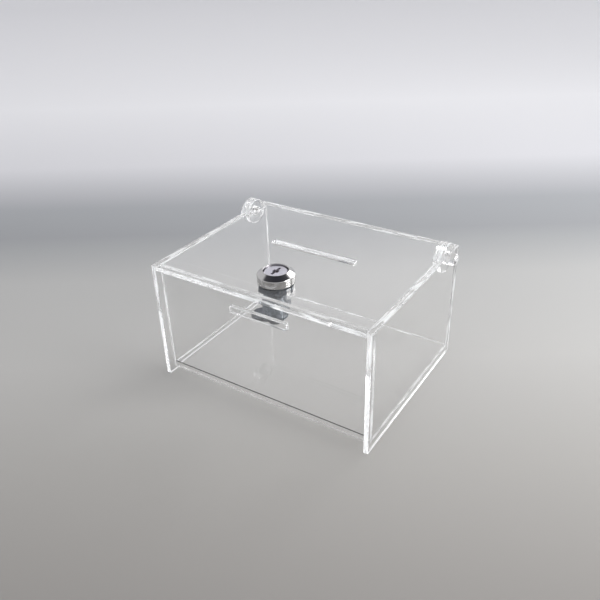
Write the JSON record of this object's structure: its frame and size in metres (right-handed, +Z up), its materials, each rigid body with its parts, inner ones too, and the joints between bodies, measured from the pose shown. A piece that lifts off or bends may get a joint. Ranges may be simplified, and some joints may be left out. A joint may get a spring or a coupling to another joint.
{
  "type": "donation box",
  "caption": "Clear acrylic box with a hinged lid on ear-mounted rod pins, a payment slot and a round cam lock in the lid, standing on its side panels.",
  "frame": {"origin": "on the table, under the middle of the box's overall bounding box", "axes": "+X to the right across the front, +Y from the front to the hinged rear, +Z up"},
  "size_m": [0.16, 0.118, 0.088],
  "materials": {
    "clear_acrylic": "clear cast acrylic sheet with flame-polished edges",
    "chrome": "polished chrome plating",
    "satin_nickel": "brushed nickel plating",
    "zinc_steel": "zinc-plated steel",
    "spring_steel": "drawn spring wire",
    "brass": "stamped brass"
  },
  "bodies": {
    "case": {"left_side_panel": "clear_acrylic", "right_side_panel": "clear_acrylic", "front_panel": "clear_acrylic", "rear_panel": "clear_acrylic", "bottom_panel": "clear_acrylic", "keeper_strip": "clear_acrylic", "left_hinge_pin": "clear_acrylic", "right_hinge_pin": "clear_acrylic"},
    "lid": {"lid_panel": "clear_acrylic", "left_knuckle": "clear_acrylic", "right_knuckle": "clear_acrylic", "lock_housing": "chrome", "lock_nut": "zinc_steel"},
    "plug": {"lock_plug": "satin_nickel", "lock_cam": "zinc_steel", "stop_washer": "zinc_steel", "split_washer": "zinc_steel", "cam_screw": "zinc_steel", "wafer_1": "brass", "wafer_2": "brass", "wafer_3": "brass", "wafer_4": "brass", "wafer_spring_1": "spring_steel", "wafer_spring_2": "spring_steel", "wafer_spring_3": "spring_steel", "wafer_spring_4": "spring_steel"}
  },
  "joints": [
    {"name": "lid_hinge", "type": "hinge", "parent": "case", "child": "lid", "pos_m": [0, 0.0415, 0.0785], "axis": [-1, 0, 0], "range_deg": [0, 160]},
    {"name": "lock_turn", "type": "hinge", "parent": "lid", "child": "plug", "pos_m": [0.002, -0.037, 0.08], "axis": [0, 0, 1], "range_deg": [-28, 62]}
  ]
}
